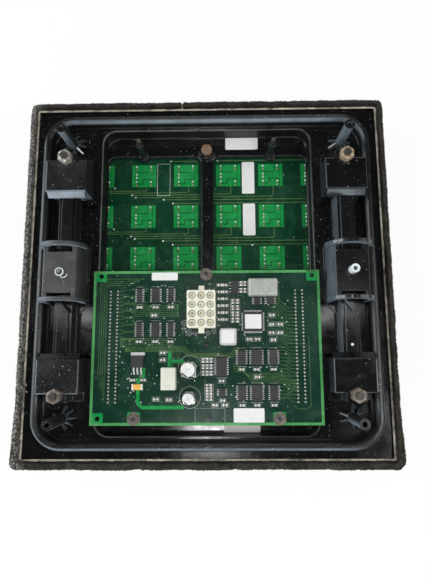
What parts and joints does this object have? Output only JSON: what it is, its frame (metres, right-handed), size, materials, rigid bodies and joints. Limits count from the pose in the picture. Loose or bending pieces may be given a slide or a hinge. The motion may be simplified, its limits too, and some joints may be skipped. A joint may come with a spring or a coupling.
{
  "type": "led display module",
  "caption": "Square LED sign module shown from behind: moulded tray with foam gasket, lamp board behind louvres, driver board on posts, and a quarter-turn latch at each side.",
  "frame": {"origin": "middle of the module, on the plane of the louvre tips that it lies on", "axes": "+X across the module, +Y along the latches, +Z out of the back"},
  "size_m": [0.27, 0.27, 0.0632],
  "materials": {
    "housing_black": "glossy moulded black with dust",
    "latch_black": "satin moulded black",
    "louver_black": "matte black",
    "foam_dark": "open-cell foam, worn and fuzzy",
    "tape_tan": "paper-backed adhesive tape",
    "board_green": "satin green solder mask",
    "lamp_red": "clear tinted epoxy",
    "lamp_green": "clear tinted epoxy",
    "lamp_blue": "clear tinted epoxy",
    "chip_black": "moulded epoxy",
    "rusty_steel": "zinc plating gone brown",
    "zinc_steel": "dull zinc plating",
    "pin_brass": "tinned brass",
    "solder": "bright solder",
    "connector_ivory": "moulded nylon",
    "can_metal": "dull plated metal",
    "can_aluminium": "drawn aluminium",
    "tantalum_orange": "moulded epoxy",
    "converter_ivory": "moulded plastic",
    "chip_part_grey": "ceramic",
    "nylon_white": "natural nylon"
  },
  "bodies": {
    "module": {"housing": "housing_black", "gasket_tape": "tape_tan", "gasket_foam": "foam_dark", "front_panel": "louver_black", "led_board": "board_green", "red_lamps": "lamp_red", "green_lamps": "lamp_green", "blue_lamps": "lamp_blue", "panel_screws": "rusty_steel", "driver_board": "board_green", "board_studs": "zinc_steel", "board_nuts": "zinc_steel", "left_header": "chip_black", "right_header": "chip_black", "header_pins": "pin_brass", "solder_tips": "solder", "connector_shell": "connector_ivory", "connector_pins": "pin_brass", "narrow_chips": "chip_black", "medium_chips": "chip_black", "wide_chips": "chip_black", "driver_ic": "chip_black", "memory_ic": "chip_black", "control_ic": "chip_black", "small_ics": "chip_black", "oscillator_can": "can_metal", "regulator": "chip_black", "regulator_leads": "solder", "tantalum_capacitor": "tantalum_orange", "converter_box": "converter_ivory", "large_capacitor": "can_aluminium", "small_capacitor": "can_aluminium", "chip_parts": "chip_part_grey", "left_track": "latch_black", "right_track": "latch_black", "left_cover": "latch_black", "right_cover": "latch_black", "left_upper_guide": "latch_black", "left_lower_guide": "latch_black", "right_upper_guide": "latch_black", "right_lower_guide": "latch_black", "guide_studs": "zinc_steel", "guide_nuts": "rusty_steel"},
    "left_drive": {"left_drive": "nylon_white"},
    "left_upper_bar": {"left_upper_bar": "latch_black"},
    "left_lower_bar": {"left_lower_bar": "latch_black"},
    "right_drive": {"right_drive": "nylon_white"},
    "right_upper_bar": {"right_upper_bar": "latch_black"},
    "right_lower_bar": {"right_lower_bar": "latch_black"}
  },
  "joints": [
    {"name": "left_drive_turn", "type": "hinge", "parent": "module", "child": "left_drive", "pos_m": [-0.102, 0, 0.0322], "axis": [0, 0, 1], "range_deg": [0, 90]},
    {"name": "left_upper_slide", "type": "slide", "parent": "module", "child": "left_upper_bar", "axis": [0, -1, 0], "range_m": [0, 0.0035]},
    {"name": "left_lower_slide", "type": "slide", "parent": "module", "child": "left_lower_bar", "axis": [0, 1, 0], "range_m": [0, 0.0035]},
    {"name": "right_drive_turn", "type": "hinge", "parent": "module", "child": "right_drive", "pos_m": [0.102, 0, 0.0322], "axis": [0, 0, 1], "range_deg": [0, 90]},
    {"name": "right_upper_slide", "type": "slide", "parent": "module", "child": "right_upper_bar", "axis": [0, -1, 0], "range_m": [0, 0.0035]},
    {"name": "right_lower_slide", "type": "slide", "parent": "module", "child": "right_lower_bar", "axis": [0, 1, 0], "range_m": [0, 0.0035]}
  ],
  "couplings": [
    {"joint": "left_upper_slide", "follows": "left_drive_turn", "m_per_rad": 0.002228},
    {"joint": "left_lower_slide", "follows": "left_drive_turn", "m_per_rad": 0.002228},
    {"joint": "right_upper_slide", "follows": "right_drive_turn", "m_per_rad": 0.002228},
    {"joint": "right_lower_slide", "follows": "right_drive_turn", "m_per_rad": 0.002228}
  ]
}
